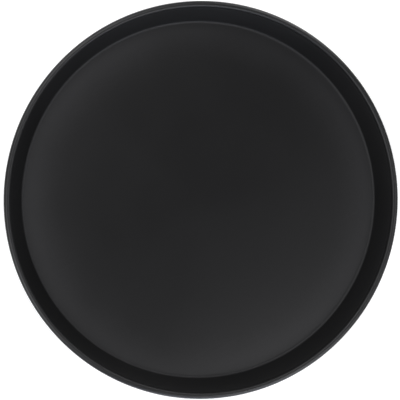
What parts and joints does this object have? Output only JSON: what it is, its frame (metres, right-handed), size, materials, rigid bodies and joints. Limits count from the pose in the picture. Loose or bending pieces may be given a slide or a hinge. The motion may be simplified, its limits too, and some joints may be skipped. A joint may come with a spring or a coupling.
{
  "type": "serving tray",
  "caption": "Round serving tray with a low flared wall, a rounded rim bead and a non-skid rubber surface.",
  "frame": {"origin": "on the tray's axis, in the plane that the foot ring stands on", "axes": "+Z along the tray's axis, from the foot ring towards the open top; the tray is round, so +X and +Y are any two directions across it; the hoop's end gap is beside +X"},
  "size_m": [0.3556, 0.3556, 0.0286],
  "materials": {
    "moulded_shell": "satin black moulded glass-fibre polyester",
    "grip_rubber": "fine matte black non-skid rubber",
    "hoop_steel": "plain drawn wire"
  },
  "bodies": {
    "root": {"tray_pan": "moulded_shell", "grip_liner": "grip_rubber", "rim_hoop": "hoop_steel"}
  },
  "joints": []
}
